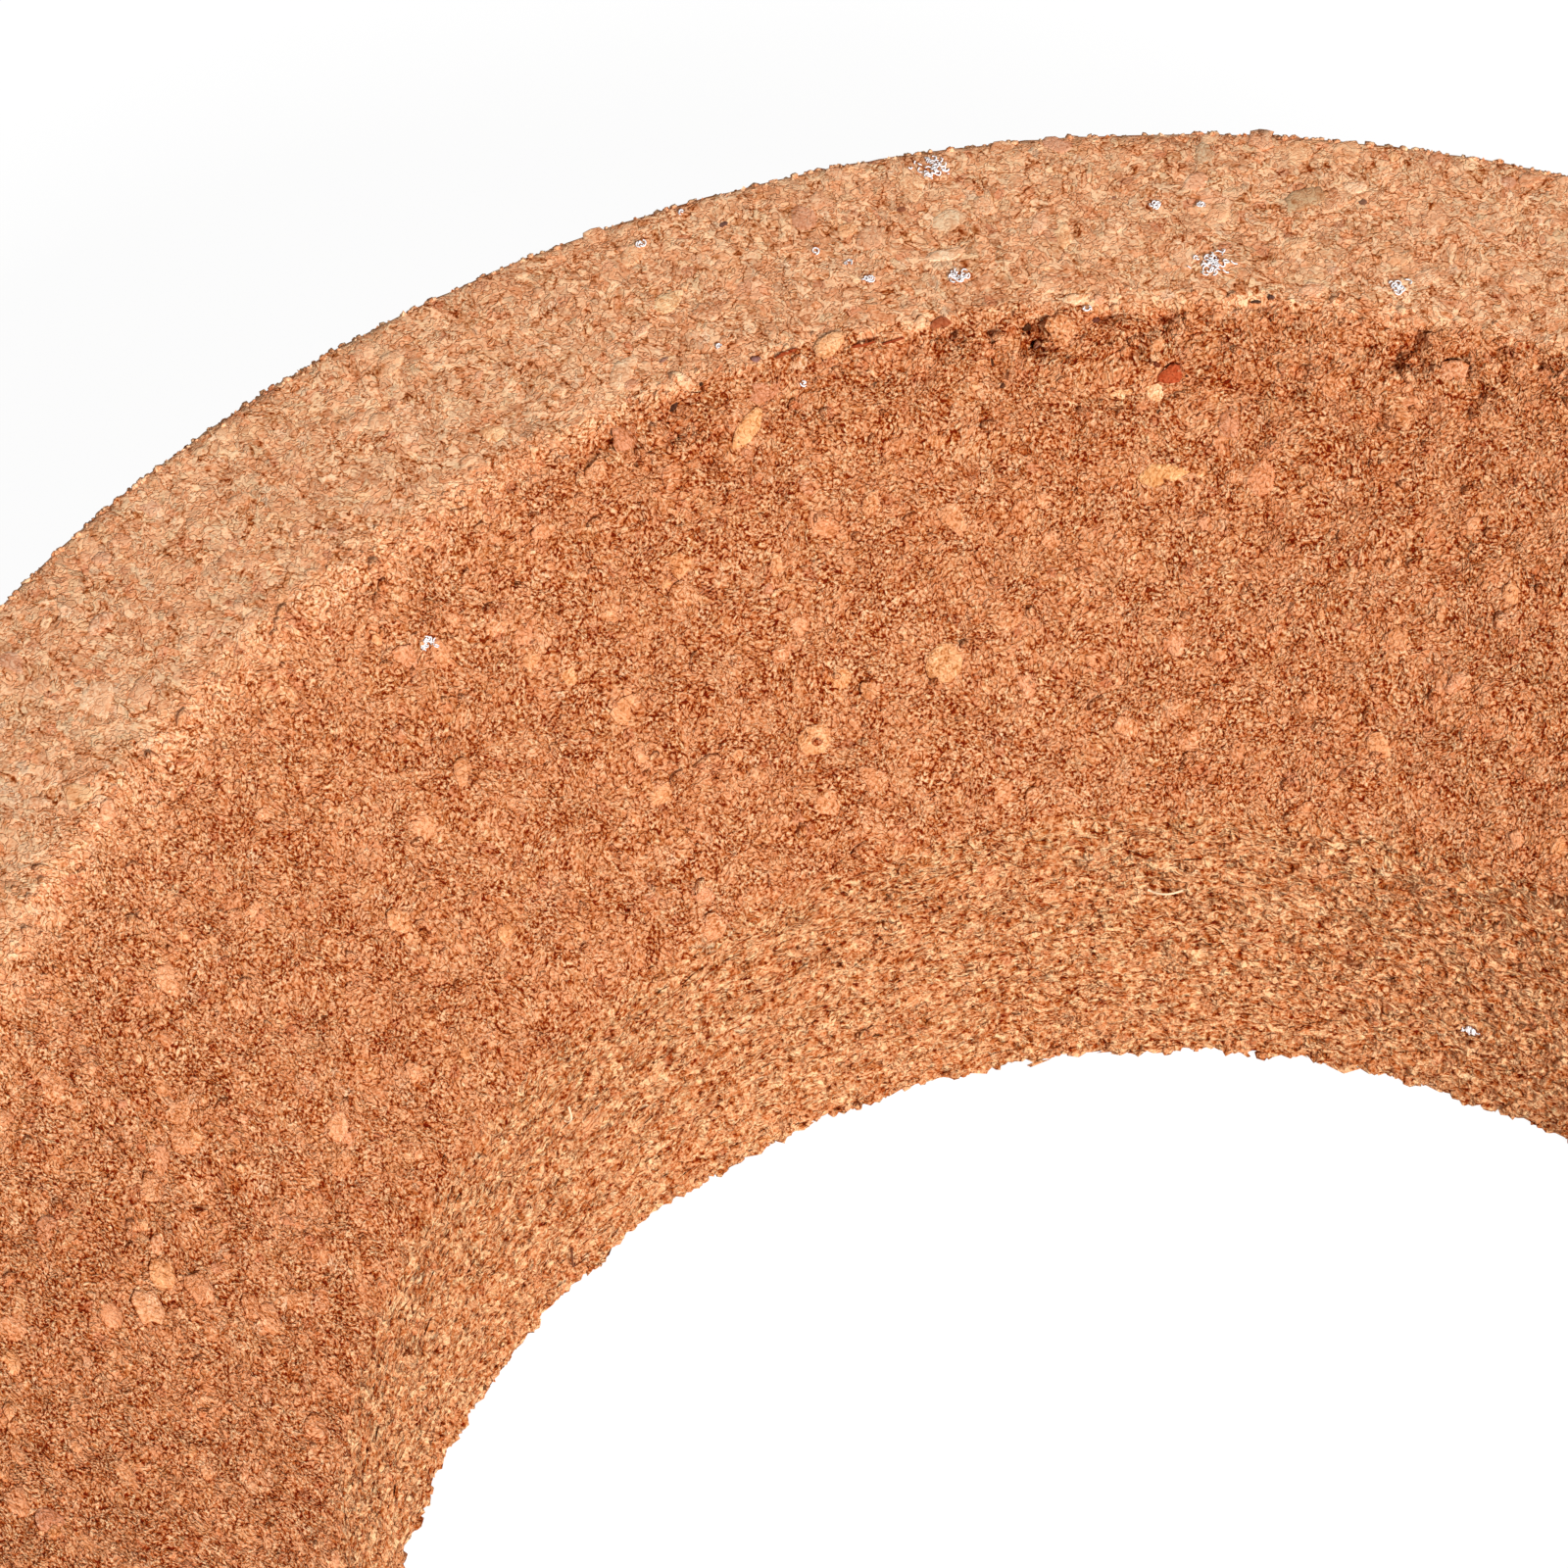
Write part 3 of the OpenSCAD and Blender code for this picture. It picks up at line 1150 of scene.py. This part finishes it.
def add_fibres():
    """Single fibres that stick out of the bore's wall."""
    faces = tube_faces()
    for name, (colour, rows) in FIBRES.items():
        azimuth, place = np.array(rows).T[:2]
        shapes = tube_shapes(np.array([fibre_path(*row[2:]) for row in rows]), FIBRE_RADIUS)
        mesh = bits_mesh(name, np.radians(azimuth), place, shapes, faces, face_spots(faces))
        dress(mesh, plain_material(name, linear(*colour))[0])


def named_value(tree, name, kind):
    """Reads a mesh attribute in a geometry tree."""
    node = tree.nodes.new("GeometryNodeInputNamedAttribute")
    node.data_type = kind
    node.inputs["Name"].default_value = name
    return Field(tree, node.outputs["Attribute"])


def stored(tree, geometry, name, value, kind="FLOAT_VECTOR"):
    """Keeps a value in a mesh attribute, in a geometry tree."""
    node = tree.nodes.new("GeometryNodeStoreNamedAttribute")
    node.data_type = kind
    node.inputs["Name"].default_value = name
    tree.links.new(geometry, node.inputs["Geometry"])
    feed(tree, node.inputs["Value"], value)
    return node.outputs[0]


def relief_tree():
    """A geometry tree that moves each point outwards by the coarse relief."""
    tree = bpy.data.node_groups.new("relief", "GeometryNodeTree")
    tree.interface.new_socket("Geometry", in_out="INPUT", socket_type="NodeSocketGeometry")
    tree.interface.new_socket("Geometry", in_out="OUTPUT", socket_type="NodeSocketGeometry")
    source = tree.nodes.new("NodeGroupInput")
    result = tree.nodes.new("NodeGroupOutput")
    root = named_value(tree, "root", "FLOAT_VECTOR")
    cavity = named_value(tree, "cavity", "FLOAT")
    zone = zones(root, named_value(tree, "along", "FLOAT"))
    height = (coarse_relief(root, zone) - cavity) * MM
    offset = vector_math("MULTIPLY", named_value(tree, "out", "FLOAT_VECTOR"), height)
    move = tree.nodes.new("GeometryNodeSetPosition")
    tree.links.new(source.outputs[0], move.inputs["Geometry"])
    feed(tree, move.inputs["Offset"], offset)
    masks = tree.nodes.new("ShaderNodeCombineXYZ")
    sanded = zone["rim"] + zone["plain"]
    for socket, value in zip(masks.inputs, (zone["bore"], sanded, zone["faded"])):
        feed(tree, socket, value)
    kept = stored(tree, move.outputs[0], "zone", Field(tree, masks.outputs[0]))
    kept = stored(tree, kept, "flow", warped(named_value(tree, "rest", "FLOAT_VECTOR"), 2.2, 0.7))
    # How much painted shade the pits and cavities get
    kept = stored(tree, kept, "hollow", hollows(root, zone) + cavity * 2, "FLOAT")
    tree.links.new(kept, result.inputs[0])
    return tree


def keep_in_box(mesh):
    """Holds the relief inside the ring's own outer radius and height."""
    co = np.zeros(len(mesh.vertices) * 3, np.float32)
    mesh.vertices.foreach_get("co", co)
    co = co.reshape(-1, 3)
    radius = np.hypot(co[:, 0], co[:, 1])
    co[:, :2] *= np.minimum(1, OUTER_R * MM / radius)[:, None]
    co[:, 2] = np.clip(co[:, 2], 0, HEIGHT * MM)
    mesh.vertices.foreach_set("co", co.ravel())
    mesh.update()


def dress(mesh, material, smooth=True):
    """Gives a mesh on the ring its relief and material, as a piece that rides with the ring."""
    piece = add_object(mesh.name, mesh)
    piece.modifiers.new("relief", "NODES").node_group = RELIEF
    graph = bpy.context.evaluated_depsgraph_get()
    piece.data = bpy.data.meshes.new_from_object(
        piece.evaluated_get(graph), preserve_all_data_layers=True, depsgraph=graph
    )
    piece.modifiers.clear()
    keep_in_box(piece.data)
    piece.data.polygons.foreach_set("use_smooth", np.full(len(piece.data.polygons), smooth))
    piece.data.materials.clear()
    piece.data.materials.append(material)
    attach(piece, "root")
    return piece


RELIEF = relief_tree()
CORK = cork_material()


def add_ring():
    """The ring with its relief in the mesh, in place of the plain CAD solid."""
    ring = dress(ring_mesh(), CORK)
    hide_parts("cork_ring")


# ------------ floor and background


def floor_material():
    """White to the camera, but for a part of the object's soft shadow."""
    material, shader = plain_material("floor", FLOOR_COLOUR, roughness=1, gloss=0)
    tree = material.node_tree
    glow = tree.nodes.new("ShaderNodeEmission")
    glow.inputs["Strength"].default_value = FLOOR_GLOW
    rays = tree.nodes.new("ShaderNodeLightPath")
    seen = Field(tree, rays.outputs["Is Camera Ray"]) * FLOOR_GLOW_SHARE
    mix = tree.nodes.new("ShaderNodeMixShader")
    feed(tree, mix.inputs[0], seen)
    tree.links.new(shader.outputs[0], mix.inputs[1])
    tree.links.new(glow.outputs[0], mix.inputs[2])
    tree.links.new(mix.outputs[0], tree.nodes["Material Output"].inputs["Surface"])
    return material


def add_floor():
    """A square floor under the ring."""
    mesh = bpy.data.meshes.new("floor")
    corners = [(x * FLOOR_REACH, y * FLOOR_REACH, 0) for x, y in ((-1, -1), (1, -1), (1, 1), (-1, 1))]
    mesh.from_pydata(corners, [], [(0, 1, 2, 3)])
    mesh.materials.append(floor_material())
    add_object("floor", mesh)


def set_world():
    """Soft light from all round, and white behind the object."""
    world = bpy.data.worlds.new("world")
    bpy.context.scene.world = world
    world.use_nodes = True
    tree = world.node_tree
    rays = tree.nodes.new("ShaderNodeLightPath")
    strength = Field(tree, rays.outputs["Is Camera Ray"]) * (1 - WORLD_LIGHT) + WORLD_LIGHT
    background = tree.nodes["Background"]
    background.inputs["Color"].default_value = (1, 1, 1, 1)
    feed(tree, background.inputs["Strength"], strength)


add_ring()
add_crumbs(seed=7, parts=3)
add_lumps(seed=3)
add_granules(seed=5)
add_lint(seed=11)
add_fibres()
add_floor()
set_world()
bpy.context.scene.view_settings.view_transform = "Standard"
